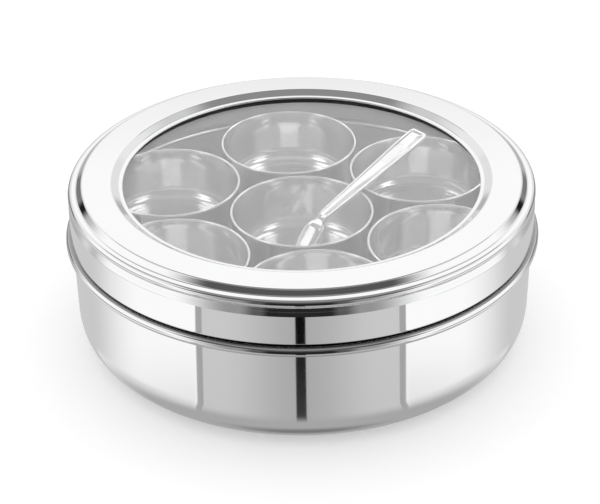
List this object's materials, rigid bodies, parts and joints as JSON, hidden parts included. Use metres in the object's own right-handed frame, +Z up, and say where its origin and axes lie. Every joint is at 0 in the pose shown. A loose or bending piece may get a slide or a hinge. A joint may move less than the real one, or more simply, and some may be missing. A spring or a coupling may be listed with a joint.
{
  "type": "spice box",
  "caption": "Round polished steel spice box with a lift-off see-through lid over loose cups that stand on a raised floor, and a small spoon lying across their rims.",
  "frame": {"origin": "middle of the base, on the surface that the box stands on", "axes": "+Z up along the box's axis; +X to the right and -Y towards the viewer in the pictured view"},
  "size_m": [0.2166, 0.2166, 0.0785],
  "materials": {
    "polished_steel": "mirror polished stainless sheet",
    "lid_steel": "mirror polished stainless sheet",
    "inner_steel": "plain bright stainless sheet",
    "cup_steel": "mirror polished stainless sheet",
    "spoon_steel": "polished stainless",
    "gasket_rubber": "matt black rubber",
    "clear_pane": "clear, smooth"
  },
  "bodies": {
    "bowl": {"body_bowl": "polished_steel"},
    "lid": {"lid_ring": "lid_steel", "window_gasket": "gasket_rubber", "window_pane": "clear_pane", "pane_clamp_ring": "inner_steel"},
    "floor": {"raised_floor": "inner_steel"},
    "centre_cup": {"cup_centre": "cup_steel"},
    "back_cup": {"cup_back": "cup_steel"},
    "back_left_cup": {"cup_back_left": "cup_steel"},
    "front_left_cup": {"cup_front_left": "cup_steel"},
    "front_cup": {"cup_front": "cup_steel"},
    "front_right_cup": {"cup_front_right": "cup_steel"},
    "back_right_cup": {"cup_back_right": "cup_steel"},
    "spoon": {"spoon": "spoon_steel"}
  },
  "joints": [
    {"name": "lid_lift", "type": "slide", "parent": "bowl", "child": "lid", "axis": [0, 0, 1], "range_m": [0, 0.24]},
    {"name": "spoon_lift", "type": "slide", "parent": "bowl", "child": "spoon", "axis": [0, 0, 1], "range_m": [0, 0.168]},
    {"name": "centre_cup_lift", "type": "slide", "parent": "bowl", "child": "centre_cup", "axis": [0, 0, 1], "range_m": [0, 0.12]},
    {"name": "back_cup_lift", "type": "slide", "parent": "bowl", "child": "back_cup", "axis": [0, 0, 1], "range_m": [0, 0.12]},
    {"name": "back_left_cup_lift", "type": "slide", "parent": "bowl", "child": "back_left_cup", "axis": [0, 0, 1], "range_m": [0, 0.12]},
    {"name": "front_left_cup_lift", "type": "slide", "parent": "bowl", "child": "front_left_cup", "axis": [0, 0, 1], "range_m": [0, 0.12]},
    {"name": "front_cup_lift", "type": "slide", "parent": "bowl", "child": "front_cup", "axis": [0, 0, 1], "range_m": [0, 0.12]},
    {"name": "front_right_cup_lift", "type": "slide", "parent": "bowl", "child": "front_right_cup", "axis": [0, 0, 1], "range_m": [0, 0.12]},
    {"name": "back_right_cup_lift", "type": "slide", "parent": "bowl", "child": "back_right_cup", "axis": [0, 0, 1], "range_m": [0, 0.12]},
    {"name": "floor_lift", "type": "slide", "parent": "bowl", "child": "floor", "axis": [0, 0, 1], "range_m": [0, 0.0792]}
  ],
  "couplings": [
    {"joint": "spoon_lift", "follows": "lid_lift", "ratio": 0.7},
    {"joint": "centre_cup_lift", "follows": "lid_lift", "ratio": 0.5},
    {"joint": "back_cup_lift", "follows": "lid_lift", "ratio": 0.5},
    {"joint": "back_left_cup_lift", "follows": "lid_lift", "ratio": 0.5},
    {"joint": "front_left_cup_lift", "follows": "lid_lift", "ratio": 0.5},
    {"joint": "front_cup_lift", "follows": "lid_lift", "ratio": 0.5},
    {"joint": "front_right_cup_lift", "follows": "lid_lift", "ratio": 0.5},
    {"joint": "back_right_cup_lift", "follows": "lid_lift", "ratio": 0.5},
    {"joint": "floor_lift", "follows": "lid_lift", "ratio": 0.33}
  ]
}
